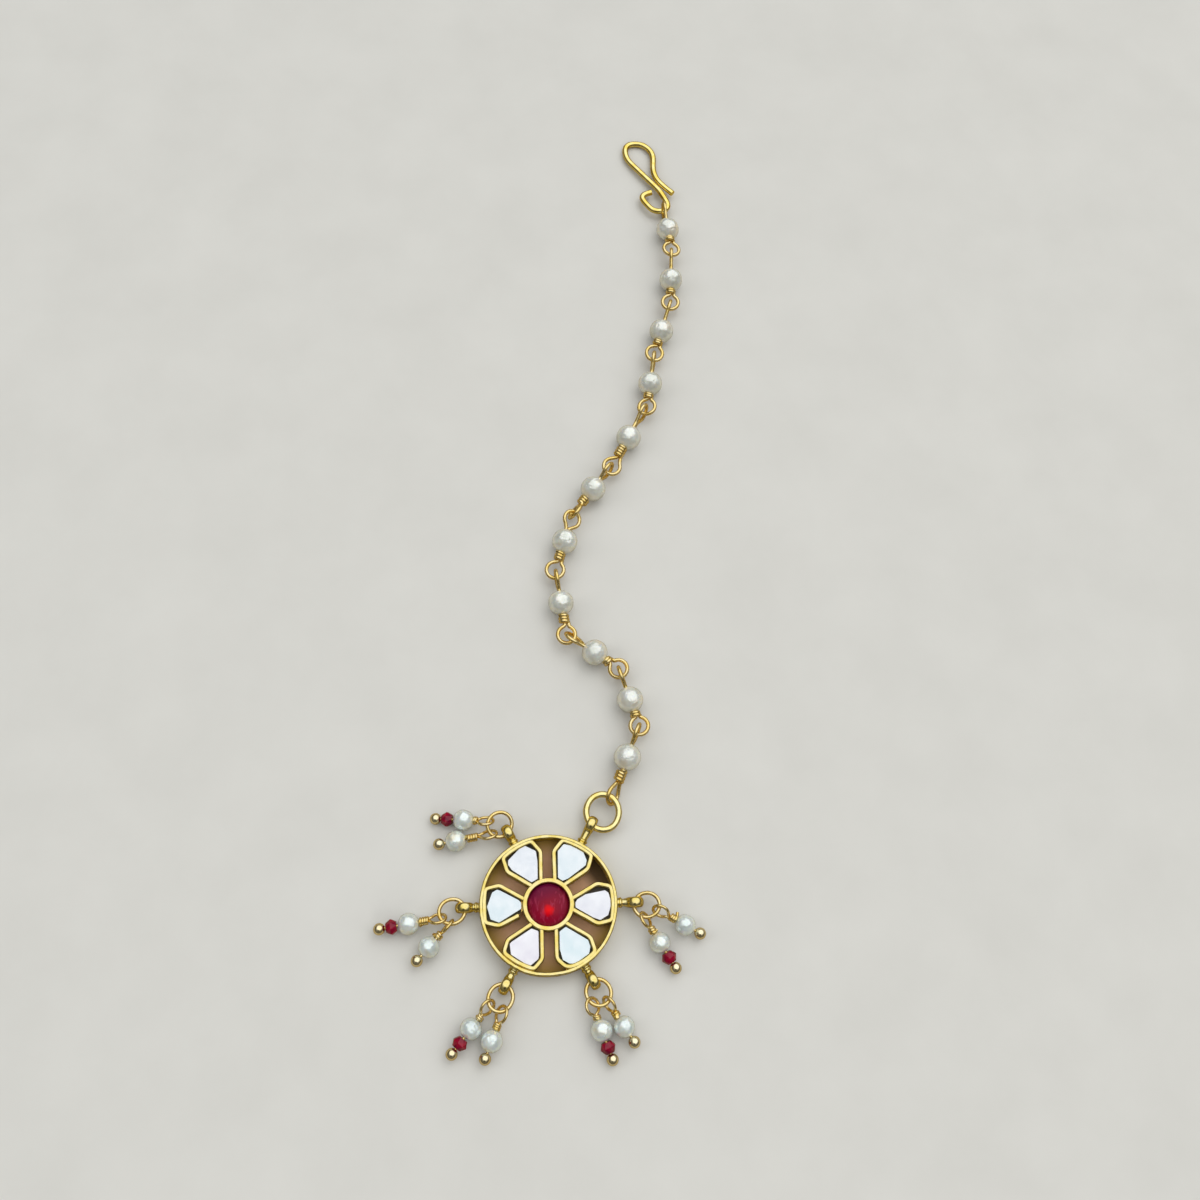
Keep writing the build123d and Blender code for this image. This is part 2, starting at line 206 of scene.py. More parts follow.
def layDrops():
    # the five rings' places, and the places along each drop
    ringPlaces, drops = [], []
    for lug, row in zip(dropLugs, dropRows):
        heading = lug["heading"] + row["turn"]
        middle = lugEye(lug) + direction(heading, row["tilt"]) * dropRing["radius"]
        ringPlaces.append(strandPlace(middle, heading, row["tilt"]))
        for item in row["drops"]:
            turned = lug["heading"] + item["turn"]
            forward = direction(turned, item["tilt"])
            loop = ringPoint(ringPlaces[-1], dropRing["radius"], item["at"]) + forward * drop["inside"]
            pearl = loop + forward * (drop["loop"] + drop["wire"] + item["neck"] + drop["pearl"])
            rest = Vector((0, 0, drop["pearl"] - pearl.z))
            loop, pearl = loop + rest, pearl + rest
            string = drop["pearl"] + drop["gap"]
            bead = pearl + forward * (string + drop["beadLength"] / 2)
            if item["red"]:
                string += drop["beadLength"] + drop["gap"]
            ball = pearl + forward * (string + drop["ball"])
            drops.append(dict(item=item, heading=turned, forward=forward, loop=loop, pearl=pearl,
                              bead=bead, ball=ball))
    return ringPlaces, drops


bigRingPlace, links, hookPlace = layChain()
dropRingPlaces, drops = layDrops()
print("layout ready:", len(links), "links,", len(drops), "drops")


def setInputs(tree, node, inputs):
    # an input takes a plain value, or a wire from another node's output
    for socket, value in inputs.items():
        if isinstance(value, bpy.types.NodeSocket):
            tree.links.new(value, node.inputs[socket])
        else:
            node.inputs[socket].default_value = value


def addNode(tree, kind, inputs=None, **options):
    node = tree.nodes.new(kind)
    for option, value in options.items():
        setattr(node, option, value)
    setInputs(tree, node, inputs or {})
    return node


def newMaterial(name):
    material = bpy.data.materials.new(name)
    material.use_nodes = True
    return material, material.node_tree, material.node_tree.nodes["Principled BSDF"]


def inMillimetres(tree, stretch=(1, 1, 1)):
    # object coordinates brought to millimetres, so pattern sizes read as on the piece
    coords = addNode(tree, "ShaderNodeTexCoord").outputs["Object"]
    scale = [1000 * share for share in stretch]
    return addNode(tree, "ShaderNodeMapping", {"Vector": coords, "Scale": scale}).outputs["Vector"]


def addNoise(tree, vector, size, detail=3, roughness=0.55, distortion=0):
    return addNode(tree, "ShaderNodeTexNoise", {
        "Vector": vector, "Scale": 1 / size, "Detail": detail, "Roughness": roughness,
        "Distortion": distortion}).outputs["Fac"]


def addRamp(tree, factor, stops):
    ramp = addNode(tree, "ShaderNodeValToRGB", {"Fac": factor})
    elements = ramp.color_ramp.elements
    while len(elements) < len(stops):
        elements.new(0.5)
    for element, (place, colour) in zip(elements, stops):
        element.position = place
        element.color = (*colour, 1)
    return ramp.outputs["Color"]


def addRange(tree, factor, low, high, fromLow=0.3, fromHigh=0.7):
    return addNode(tree, "ShaderNodeMapRange", {
        "Value": factor, "From Min": fromLow, "From Max": fromHigh, "To Min": low, "To Max": high,
    }).outputs["Result"]


def addBump(tree, shader, height, strength, distance, after=None):
    bump = addNode(tree, "ShaderNodeBump", {"Height": height, "Strength": strength, "Distance": distance})
    if after:
        setInputs(tree, bump, {"Normal": after})
    setInputs(tree, shader, {"Normal": bump.outputs["Normal"]})
    return bump.outputs["Normal"]


def mixColours(tree, factor, first, second):
    blend = addNode(tree, "ShaderNodeMix", data_type="RGBA")
    setInputs(tree, blend, {"Factor": factor})
    for socket, colour in (("A", first), ("B", second)):
        setInputs(tree, blend, {socket: (*colour, 1) if isinstance(colour, tuple) else colour})
    return blend.outputs["Result"]


def lengthOf(tree, vector):
    return addNode(tree, "ShaderNodeVectorMath", {0: vector}, operation="LENGTH").outputs["Value"]


def towards(tree, vector, way):
    # how far the vector goes that way
    share = addNode(tree, "ShaderNodeVectorMath", {0: vector, 1: way}, operation="DOT_PRODUCT")
    return share.outputs["Value"]


# Pale and deep are the two tones of the metal, and rough goes from its polished to its dull spots.
goldFinishes = dict(
    castGold=dict(pale=(0.89, 0.76, 0.35), deep=(0.82, 0.64, 0.17), rough=(0.06, 0.20), bump=0.38),
    wireGold=dict(pale=(0.96, 0.77, 0.37), deep=(0.90, 0.64, 0.17), rough=(0.18, 0.32), bump=0.15, coat=0.5),
    ringGold=dict(pale=(1.0, 0.87, 0.42), deep=(0.96, 0.75, 0.22), rough=(0.14, 0.26), bump=0.38),
    hookGold=dict(pale=(1.0, 0.85, 0.34), deep=(0.95, 0.70, 0.14), rough=(0.05, 0.14), bump=0.3),
    ballGold=dict(pale=(1.0, 0.90, 0.62), deep=(0.94, 0.78, 0.46), rough=(0.12, 0.22), bump=0.06),
    backGold=dict(pale=(0.92, 0.66, 0.22), deep=(0.78, 0.48, 0.12), rough=(0.22, 0.42), bump=0.35),
)
goldEdgeTint = (0.70, 0.51, 0.12, 1)  # what polished gold mirrors at a glancing look
goldDents = dict(size=1.3, depth=0.00012, smearSize=0.45, smearDepth=0.00002)


def makeGold(name, pale, deep, rough, bump, coat=0.0):
    material, tree, shader = newMaterial(name)
    place = inMillimetres(tree)
    cloud = addNoise(tree, place, goldDents["size"], 4)
    smear = addNoise(tree, place, goldDents["smearSize"], 5, 0.65)
    setInputs(tree, shader, {
        "Metallic": 1.0, "Specular IOR Level": 0.5, "Specular Tint": goldEdgeTint,
        "Coat Weight": coat, "Coat Roughness": 0.12, "Coat IOR": 1.6,
        "Base Color": addRamp(tree, cloud, [(0.36, deep), (0.60, pale)]),
        "Roughness": addRange(tree, smear, *rough)})
    soft = addBump(tree, shader, cloud, bump, goldDents["depth"])
    addBump(tree, shader, smear, bump * 0.5, goldDents["smearDepth"], soft)
    return material


nacreFinishes = dict(
    chainNacre=dict(light=(0.85, 0.87, 0.82), shade=(0.67, 0.69, 0.62), warm=(0.82, 0.75, 0.59)),
    dropNacre=dict(light=(0.84, 0.91, 0.89), shade=(0.67, 0.75, 0.73), warm=(0.80, 0.76, 0.58)),
)
pearlDents = dict(size=1.0, strength=0.9, depth=0.00026, filmSize=0.8, filmStrength=0.2, filmDepth=0.00005)


def makeNacre(name, light, shade, warm):
    material, tree, shader = newMaterial(name)
    place = inMillimetres(tree)
    cloud = addNoise(tree, place, 2.3, 2, 0.5, 0.4)
    film = addNoise(tree, place, pearlDents["filmSize"], 4)
    dents = addNoise(tree, place, pearlDents["size"], 1, 0.45, 0.35)
    setInputs(tree, shader, {
        "Metallic": 0.42, "Specular IOR Level": 0.8, "Coat Weight": 0.6, "Coat Roughness": 0.06,
        "Coat IOR": 1.6, "Subsurface Weight": 0.3, "Subsurface Scale": 0.0006,
        "Subsurface Radius": (1.0, 0.8, 0.55), "Sheen Weight": 0.1, "Sheen Roughness": 0.4,
        "Sheen Tint": (0.9, 0.95, 1.0, 1),
        "Base Color": addRamp(tree, cloud, [(0.30, shade), (0.52, light), (0.74, warm)]),
        "Roughness": addRange(tree, film, 0.16, 0.28)})
    soft = addBump(tree, shader, dents, pearlDents["strength"], pearlDents["depth"])
    addBump(tree, shader, film, pearlDents["filmStrength"], pearlDents["filmDepth"], soft)
    return material


def makeMirror(name):
    # silvered glass; the "tint" attribute shifts each stone between cool and pink
    material, tree, shader = newMaterial(name)
    place = inMillimetres(tree)
    cloud = addNoise(tree, place, 2.0, 3)
    cool = addRamp(tree, cloud, [(0.30, (0.62, 0.73, 0.77)), (0.70, (0.76, 0.81, 0.84))])
    pink = addRamp(tree, cloud, [(0.30, (0.72, 0.68, 0.75)), (0.70, (0.82, 0.81, 0.84))])
    tint = addNode(tree, "ShaderNodeAttribute", attribute_name="tint").outputs["Fac"]
    grain = addNoise(tree, place, 0.25, 5, 0.7)
    setInputs(tree, shader, {
        "Metallic": 0.75, "Coat Weight": 1.0, "Coat Roughness": 0.03, "Coat IOR": 1.52,
        "Base Color": mixColours(tree, tint, cool, pink), "Roughness": addRange(tree, grain, 0.12, 0.24)})
    addBump(tree, shader, grain, 0.08, 0.00002)
    return material


# The ruby's base colour paints light and shade: the glow ramp is a painted bright red spot of focused light
# just below the middle, and the plum tone is painted shade on the far side.
ruby = dict(
    paintedGlow=(  # from the bright spot outwards
        (0.0, (0.84, 0.0, 0.003)), (0.15, (0.60, 0.001, 0.008)), (0.25, (0.26, 0.003, 0.020)),
        (0.55, (0.21, 0.003, 0.024)), (0.8, (0.16, 0.002, 0.016)), (1.0, (0.12, 0.002, 0.010))),
    paintedGlowAt=0.9, paintedGlowReach=(0.45, 4.4),
    plumShade=(0.13, 0.004, 0.045), plumShadeWay=(-0.35, 0.94, 0), plumShadeFrom=(1.3, 3.6),
    paleStreaks=(0.38, 0.035, 0.085), paleStreaksFrom=(0.54, 0.68))


def makeRuby(name):
    # deep crimson dome over bright foil; its colour carries a painted glow of focused light just below its
    # middle and painted shade on the far side
    material, tree, shader = newMaterial(name)
    coords = addNode(tree, "ShaderNodeTexCoord").outputs["Object"]
    centre = addNode(tree, "ShaderNodeMapping", {
        "Vector": coords, "Location": (0, ruby["paintedGlowAt"], 0), "Scale": (1000, 1000, 0)}).outputs["Vector"]
    cloud = addNoise(tree, centre, 1.2, 3)
    wobble = addNode(tree, "ShaderNodeMath", {0: cloud, 1: 0.9, 2: lengthOf(tree, centre)},
                     operation="MULTIPLY_ADD").outputs[0]
    # painted glow: a bright red spot of focused light, fixed on the stone
    paintedGlow = addRamp(tree, addRange(tree, wobble, 0, 1, *ruby["paintedGlowReach"]), ruby["paintedGlow"])
    # painted shade: the dome darkens towards plum on the side away from the glow
    plumShade = addRange(tree, towards(tree, centre, ruby["plumShadeWay"]), 0, 0.75, *ruby["plumShadeFrom"])
    paintedGlowAndShade = mixColours(tree, plumShade, paintedGlow, ruby["plumShade"])
    # paler pink streaks stretched across the dome
    streaks = addNoise(tree, inMillimetres(tree, (2.4, 0.7, 1)), 1.1, 2, 0.5, 0.8)
    paleStreaks = addRange(tree, streaks, 0, 0.5, *ruby["paleStreaksFrom"])
    setInputs(tree, shader, {
        "Roughness": 0.3, "IOR": 1.5, "Specular IOR Level": 0.08, "Coat Weight": 0.14,
        "Coat Roughness": 0.06, "Base Color": mixColours(tree, paleStreaks, paintedGlowAndShade, ruby["paleStreaks"])})
    addBump(tree, shader, cloud, 0.05, 0.00003)
    return material


def makeRedGlass(name):
    material, tree, shader = newMaterial(name)
    place = inMillimetres(tree)
    cloud = addNoise(tree, place, 0.9, 3)
    grain = addNoise(tree, place, 0.3, 4)
    setInputs(tree, shader, {
        "IOR": 1.5, "Specular IOR Level": 0.2, "Coat Weight": 0.45, "Coat Roughness": 0.03,
        "Base Color": addRamp(tree, cloud, [(0.32, (0.09, 0.001, 0.016)), (0.68, (0.32, 0.001, 0.022))]),
        "Roughness": addRange(tree, grain, 0.05, 0.14)})
    addBump(tree, shader, grain, 0.06, 0.00002)
    return material


def makeLacAndShade(name):
    # dark lac bedding that the stones are pressed into; its near-black colour is also painted shade for the
    # narrow gaps round the stones
    material, tree, shader = newMaterial(name)
    cloud = addNoise(tree, inMillimetres(tree), 0.6, 4)
    setInputs(tree, shader, {
        "Base Color": addRamp(tree, cloud, [(0.3, (0.015, 0.012, 0.006)), (0.7, (0.07, 0.055, 0.03))]),
        "Roughness": addRange(tree, cloud, 0.4, 0.7)})
    addBump(tree, shader, cloud, 0.3, 0.00006)
    return material


gold = {name: makeGold(name, **finish) for name, finish in goldFinishes.items()}
nacre = {name: makeNacre(name, **finish) for name, finish in nacreFinishes.items()}
mirrorGlass = makeMirror("mirrorGlass")
rubyGlass = makeRuby("rubyGlass")
redGlass = makeRedGlass("redGlass")
darkLac = makeLacAndShade("darkLac")
print("materials ready")


def newTree(name, sizes):
    tree = bpy.data.node_groups.new(name, "GeometryNodeTree")
    sockets = {"Geometry": "Geometry", **sizes}
    for label, kind in sockets.items():
        tree.interface.new_socket(label, in_out="INPUT", socket_type="NodeSocket" + kind)
    tree.interface.new_socket("Geometry", in_out="OUTPUT", socket_type="NodeSocketGeometry")
    return tree, tree.nodes.new("NodeGroupInput").outputs


def roughen(tree, geometry, source):
    # pushes the surface in and out along its normal by up to half the grain
    noise = addNode(tree, "ShaderNodeTexNoise", {"Scale": source["Grain Scale"], "Detail": 2})
    wave = addNode(tree, "ShaderNodeMath", {0: noise.outputs["Fac"], 1: 0.5}, operation="SUBTRACT")
    amount = addNode(tree, "ShaderNodeMath", {0: wave.outputs[0], 1: source["Grain"]}, operation="MULTIPLY")
    normal = addNode(tree, "GeometryNodeInputNormal").outputs["Normal"]
    push = addNode(tree, "ShaderNodeVectorMath", {0: normal, "Scale": amount.outputs[0]}, operation="SCALE")
    return addNode(tree, "GeometryNodeSetPosition", {
        "Geometry": geometry, "Offset": push.outputs["Vector"]}).outputs["Geometry"]


def endTree(tree, geometry, source, smooth=True):
    shade = addNode(tree, "GeometryNodeSetShadeSmooth", {"Geometry": geometry, "Shade Smooth": smooth})
    real = addNode(tree, "GeometryNodeRealizeInstances", {"Geometry": shade.outputs["Geometry"]})
    paint = addNode(tree, "GeometryNodeSetMaterial", {
        "Geometry": real.outputs["Geometry"], "Material": source["Material"]})
    addNode(tree, "NodeGroupOutput", {"Geometry": paint.outputs["Geometry"]})
    return tree


def namedValue(tree, label, kind="FLOAT"):
    named = addNode(tree, "GeometryNodeInputNamedAttribute", {"Name": label}, data_type=kind)
    return named.outputs["Attribute"]


def sweepSection(tree, source, section, upright):
    # carries the section along the route; "girth" thins or swells it point by point
    curve = addNode(tree, "GeometryNodeMeshToCurve", {"Mesh": source["Geometry"]}).outputs["Curve"]
    mode = "Z_UP" if upright else "MINIMUM_TWIST"
    curve = addNode(tree, "GeometryNodeSetCurveNormal", {"Curve": curve}, mode=mode).outputs["Curve"]
    curve = addNode(tree, "GeometryNodeSetCurveRadius", {
        "Curve": curve, "Radius": namedValue(tree, "girth")}).outputs["Curve"]
    mesh = addNode(tree, "GeometryNodeCurveToMesh", {
        "Curve": curve, "Profile Curve": section, "Fill Caps": True}).outputs["Mesh"]
    return endTree(tree, roughen(tree, mesh, source), source)


def buildWireTree(name, upright=False):
    # a round or slightly flattened wire along a route
    tree, source = newTree(name, {
        "Wire Radius": "Float", "Width": "Float", "Sides": "Int", "Grain": "Float",
        "Grain Scale": "Float", "Material": "Material"})
    circle = addNode(tree, "GeometryNodeCurvePrimitiveCircle", {
        "Resolution": source["Sides"], "Radius": source["Wire Radius"]}).outputs["Curve"]
    shape = addNode(tree, "ShaderNodeCombineXYZ", {"X": source["Width"], "Y": 1, "Z": 1}).outputs["Vector"]
    section = addNode(tree, "GeometryNodeTransform", {"Geometry": circle, "Scale": shape})
    return sweepSection(tree, source, section.outputs["Geometry"], upright)


def buildWallTree():
    # an upright strip of metal along a route, with rounded edges
    tree, source = newTree("wallAlongRoute", {
        "Wall": "Float", "Height": "Float", "Crown": "Float", "Grain": "Float",
        "Grain Scale": "Float", "Material": "Material"})
    strip = addNode(tree, "GeometryNodeCurvePrimitiveQuadrilateral", {
        "Width": source["Wall"], "Height": source["Height"]}).outputs["Curve"]
    section = addNode(tree, "GeometryNodeFilletCurve", {
        "Curve": strip, "Radius": source["Crown"], "Count": 5, "Limit Radius": True}, mode="POLY")
    return sweepSection(tree, source, section.outputs["Curve"], upright=True)


def buildStringTree():
    # beads set on points: "strand" is the way of the hole, "spin" turns a bead about it
    tree, source = newTree("beadsOnPoints", {
        "Bead": "Object", "Grain": "Float", "Grain Scale": "Float", "Smooth": "Bool",
        "Material": "Material"})
    bead = addNode(tree, "GeometryNodeObjectInfo", {"Object": source["Bead"]}).outputs["Geometry"]
    turn = addNode(tree, "FunctionNodeAlignRotationToVector", {
        "Vector": namedValue(tree, "strand", "FLOAT_VECTOR")}, axis="X").outputs["Rotation"]
    roll = addNode(tree, "FunctionNodeAxisAngleToRotation", {
        "Axis": (1, 0, 0), "Angle": namedValue(tree, "spin")}).outputs["Rotation"]
    both = addNode(tree, "FunctionNodeRotateRotation", {
        "Rotation": turn, "Rotate By": roll}, rotation_space="LOCAL").outputs["Rotation"]
    beads = addNode(tree, "GeometryNodeInstanceOnPoints", {
        "Points": source["Geometry"], "Instance": bead, "Rotation": both,
        "Scale": namedValue(tree, "girth", "FLOAT_VECTOR")}).outputs["Instances"]
    real = addNode(tree, "GeometryNodeRealizeInstances", {"Geometry": beads}).outputs["Geometry"]
    return endTree(tree, roughen(tree, real, source), source, source["Smooth"])


wireTree = buildWireTree("wireAlongRoute")
flatWireTree = buildWireTree("flatWireAlongRoute", upright=True)
wallTree = buildWallTree()
stringTree = buildStringTree()


def newObject(name, data):
    item = bpy.data.objects.new(name, data)
    bpy.context.scene.collection.objects.link(item)
    return item


def keepPointValues(mesh, label, kind, values):
    field = "vector" if kind == "FLOAT_VECTOR" else "value"
    mesh.attributes.new(label, kind, "POINT").data.foreach_set(field, values)


def routeObject(name, routes, closed=False):
    # each route is a list of (point, girth)
    vertices, edges, girths = [], [], []
    for route in routes:
        first = len(vertices)
        for point, girth in route:
            vertices.append(point)
            girths.append(girth)
        edges += [(i, i + 1) for i in range(first, len(vertices) - 1)]
        if closed:
            edges.append((len(vertices) - 1, first))
    mesh = bpy.data.meshes.new(name)
    mesh.from_pydata(vertices, edges, [])
    keepPointValues(mesh, "girth", "FLOAT", girths)
    return newObject(name, mesh)


def pointObject(name, rows):
    # rows of (point, strand, girth, spin)
    points, strands, girths, spins = zip(*rows)
    mesh = bpy.data.meshes.new(name)
    mesh.from_pydata(points, [], [])
    keepPointValues(mesh, "strand", "FLOAT_VECTOR", [part for strand in strands for part in strand])
    keepPointValues(mesh, "girth", "FLOAT_VECTOR", [part for girth in girths for part in girth])
    keepPointValues(mesh, "spin", "FLOAT", spins)
    return newObject(name, mesh)


def keepEvaluated(item):
    # the modifiers' result becomes the object's plain mesh
    graph = bpy.context.evaluated_depsgraph_get()
    made = bpy.data.meshes.new_from_object(item.evaluated_get(graph))
    item.modifiers.clear()
    spare, item.data = item.data, made
    bpy.data.meshes.remove(spare)


def runTree(item, tree, values):
    modifier = item.modifiers.new(tree.name, "NODES")
    modifier.node_group = tree
    for socket in tree.interface.items_tree:
        if socket.in_out == "INPUT" and socket.name in values:
            modifier[socket.identifier] = values[socket.name]
    keepEvaluated(item)
    for label in ("girth", "strand", "spin"):
        if label in item.data.attributes:
            item.data.attributes.remove(item.data.attributes[label])


def finishPiece(item, nodes, material=None):
    # brings the mesh to metres and hands the piece to the frame
    item.data.name = item.name
    if material:
        item.data.materials.clear()
        item.data.materials.append(material)
    item.data.transform(Matrix.Scale(0.001, 4))
    item.data.update()
    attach(item, "root")
    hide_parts(*nodes)
    print(item.name, len(item.data.polygons), "faces")


def nodesNamed(start):
    return sorted(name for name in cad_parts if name.startswith(start))


studioView = dict(
    place=(-0.00083, -0.01587, 0.1755), look=(0.0543, 0.3390, -0.9392), level=(0.9874, -0.1582, 0.0),
    roll=7.447, lens=34.88, sensor=36.0)
floorTone = dict(
    size=3.0, pale=(0.664, 0.656, 0.622), dark=(0.632, 0.624, 0.590), cloud=14, mirroredShade=(0.42, 0.37, 0.26))
underTone = dict(  # the floor seen through the pendant, which takes the gold's warm light
    middle=(0.60, 0.37, 0.25), edge=(0.40, 0.26, 0.07), edgeFrom=(6.8, 9.2),
    shade=(0.07, 0.04, 0.02), shadeWay=(0.82, 0.57, 0), shadeFrom=(6.2, 8.0), reach=(9.5, 9.8))
skyBands = (  # height of the band from straight down (0) to straight up (1), and its light
    (0.50, (0.07, 0.06, 0.045)),
    (0.60, (0.10, 0.09, 0.07)),
    (0.75, (0.13, 0.12, 0.10)),
    (0.92, (0.26, 0.26, 0.24)),
)
skyPatches = (  # a bright window and a dark patch, each fading from its inside to its outside
    dict(toward=(0.20, 0.40, 0.894), inside=0.77, outside=0.55, light=(1.17, 1.19, 1.20)),
    dict(toward=(-0.10, -0.54, 0.836), inside=0.985, outside=0.93, light=(0.03, 0.03, 0.025)),
)
lamps = (
    dict(name="keyPanel", place=(0.35, 0.42, 0.78), size=0.7, power=1.7, colour=(1.0, 0.99, 0.965)),
    dict(name="leftPanel", place=(-0.75, 0.1, 0.55), size=0.6, power=1.7, colour=(0.98, 0.99, 1.0)),
    dict(name="frontPanel", place=(0.1, -0.75, 0.5), size=0.6, power=1.4, colour=(1.0, 0.98, 0.95)),
    dict(name="rightPanel", place=(0.75, -0.2, 0.5), size=0.6, power=0.9, colour=(1.0, 0.98, 0.95)),
)
lampsLookAt = Vector((0, 0.05, 0))


def makeCamera():
    forward = Vector(studioView["look"]).normalized()
    right = Vector(studioView["level"]).normalized()
    up = right.cross(forward)
    roll = radians(studioView["roll"])
    turnedRight = right * cos(roll) + up * sin(roll)
    turnedUp = up * cos(roll) - right * sin(roll)
    data = bpy.data.cameras.new("studioCamera")
    data.lens, data.sensor_width = studioView["lens"], studioView["sensor"]
    data.clip_start, data.clip_end = 0.005, 20
    camera = newObject("studioCamera", data)
    pose = Matrix((turnedRight, turnedUp, -forward)).transposed().to_4x4()
    pose.translation = studioView["place"]
    camera.matrix_world = pose
    bpy.context.scene.camera = camera


def warmUnder(tree, place, bare):
    # inside the pendant's rim the floor is warmer, and lies in the rim's shade on one side
    distance = lengthOf(tree, place)
    edge = addRange(tree, distance, 0, 1, *underTone["edgeFrom"])
    tone = mixColours(tree, edge, underTone["middle"], underTone["edge"])
    dark = addRange(tree, towards(tree, place, underTone["shadeWay"]), 0, 0.9, *underTone["shadeFrom"])
    tone = mixColours(tree, dark, tone, underTone["shade"])
    return mixColours(tree, addRange(tree, distance, 0, 1, *underTone["reach"]), tone, bare)


def makeFloor():
    half = floorTone["size"] / 2
    mesh = bpy.data.meshes.new("floor")
    corners = [(-half, -half, 0), (half, -half, 0), (half, half, 0), (-half, half, 0)]
    mesh.from_pydata(corners, [], [(0, 1, 2, 3)])
    material, tree, shader = newMaterial("paleFloor")
    place = inMillimetres(tree)
    cloud = addNoise(tree, place, floorTone["cloud"], 4)
    bare = addRamp(tree, cloud, [(0.3, floorTone["dark"]), (0.7, floorTone["pale"])])
    setInputs(tree, shader, {
        "Base Color": warmUnder(tree, place, bare), "Roughness": 0.75, "Specular IOR Level": 0.25})
    # painted shade in reflections: polished metal sees a darker table than the eye does, which gives it firm
    # edges
    shade = addNode(tree, "ShaderNodeBsdfDiffuse", {"Color": (*floorTone["mirroredShade"], 1)})
    mix = addNode(tree, "ShaderNodeMixShader", {
        "Fac": addNode(tree, "ShaderNodeLightPath").outputs["Is Glossy Ray"],
        1: shader.outputs["BSDF"], 2: shade.outputs["BSDF"]})
    setInputs(tree, tree.nodes["Material Output"], {"Surface": mix.outputs["Shader"]})
    mesh.materials.append(material)
    newObject("floor", mesh)


def makeSky():
    world = bpy.data.worlds.new("softStudio")
    bpy.context.scene.world = world
    world.use_nodes = True
    tree = world.node_tree
    way = addNode(tree, "ShaderNodeTexCoord").outputs["Generated"]
    rise = addNode(tree, "ShaderNodeSeparateXYZ", {"Vector": way}).outputs["Z"]
    height = addNode(tree, "ShaderNodeMapRange", {"Value": rise, "From Min": -1}).outputs["Result"]
    colour = addRamp(tree, height, skyBands)
    for patch in skyPatches:
        near = towards(tree, way, Vector(patch["toward"]).normalized())
        inside = addRange(tree, near, 0, 1, patch["outside"], patch["inside"])
        colour = mixColours(tree, inside, colour, patch["light"])
    setInputs(tree, tree.nodes["Background"], {"Color": colour, "Strength": 1.0})


def makeLamps():
    for lamp in lamps:
        data = bpy.data.lights.new(lamp["name"], "AREA")
        data.shape, data.size = "DISK", lamp["size"]
        data.energy, data.color = lamp["power"], lamp["colour"]
        item = newObject(lamp["name"], data)
        item.location = lamp["place"]
        item.rotation_mode = "QUATERNION"
        item.rotation_quaternion = (lampsLookAt - item.location).to_track_quat("-Z", "Y")
        item.visible_glossy = False


makeCamera()
makeFloor()
makeSky()
makeLamps()
bpy.context.scene.view_settings.view_transform = "Standard"
print("studio ready")


def loopRoute(loop, wire, core, neck, wraps, pitch, tail, taperMost, rest=0.4, spare=0.12):
    # the loop's middle is the origin and its bead lies towards -X; the route starts in the bead's
    # hole, runs out to the loop and comes back to be wrapped round the core or tucked in
    loopSteps, turnSteps, clear = 40, 16, 0.02
    surface = -(loop + wire + neck)
    wound = core + wire + clear
    room = -surface - loop - spare
    taper = max(0.12, min(room - wraps * pitch, taperMost))
    spread = acos(loop / (loop + taper))
    entry = -(loop + taper)
    points = [Vector((surface, 0, 0)), Vector((entry, 0, 0))]
    start, end = pi + spread, 3 * pi - spread
    for step in range(loopSteps + 1):
        angle = start + (end - start) * step / loopSteps
        points.append(Vector((loop * cos(angle), loop * sin(angle), 0)))
    if not wraps:
        points.append(Vector((entry, wound * 0.8, 0)))
        points.append(Vector((surface - 0.1, wound * 0.75, 0)))
        return points
    points.append(Vector((entry + 0.1, wound * 1.05, 0.0)))
    first = surface + spare + wraps * pitch
    if first < entry:
        points.append(Vector((first, wound, 0.0)))
    else:
        first = entry
    turns = round(turnSteps * (wraps + rest))
    for step in range(turns + 1):
        angle = 2 * pi * step / turnSteps
        along = first + (surface + spare - first) * step / turns
        points.append(Vector((along, wound * cos(angle), wound * sin(angle))))
    onward = Vector((0, -sin(angle), cos(angle)))
    lifted = onward + Vector((0.3, cos(angle) * 0.2, sin(angle) * 0.2))
    points.append(points[-1] + onward * tail * 0.5)
    points.append(points[-1] + lifted * tail * 0.5)
    return points


def wireEnds(points, wire, rng=None, uneven=0.025):
    # rounds the two cut ends and lets the wire's thickness wander a little
    girths = [1 + (rng.uniform(-uneven, uneven) if rng else 0) for _ in points]
    smoothed = []
    for index in range(len(girths)):
        near = girths[max(0, index - 2):index + 3]
        smoothed.append(sum(near) / len(near))
    entries = list(zip(points, smoothed))
    for end, inward in ((0, 1), (-1, -2)):
        tip, step = points[end], (points[inward] - points[end]).normalized()
        caps = [(tip - step * wire * 0.42, 0.45), (tip - step * wire * 0.30, 0.78)]
        entries = caps + entries if end == 0 else entries + caps[::-1]
    return entries


def makeWire(name, routes, wire, nodes, tree=wireTree):
    item = routeObject(name, routes)
    runTree(item, tree, {
        "Wire Radius": wire["radius"], "Width": wire.get("width", 1.0), "Sides": wire["sides"],
        "Grain": wire["grain"], "Grain Scale": wire["grainScale"], "Material": gold[wire["metal"]]})
    finishPiece(item, nodes)


linkWire = dict(
    metal="wireGold", radius=0.305, sides=16, grain=0.03, grainScale=0.9, step=0.11, pitch=0.56,
    tail=0.12, tapers=(0.9, 0.12, 0.15, 0.15, 0.15, 0.2, 0.5, 0.12, 0.12, 0.15, 0.15), seed=7)
facingBack = Matrix.Rotation(pi, 4, "Z")


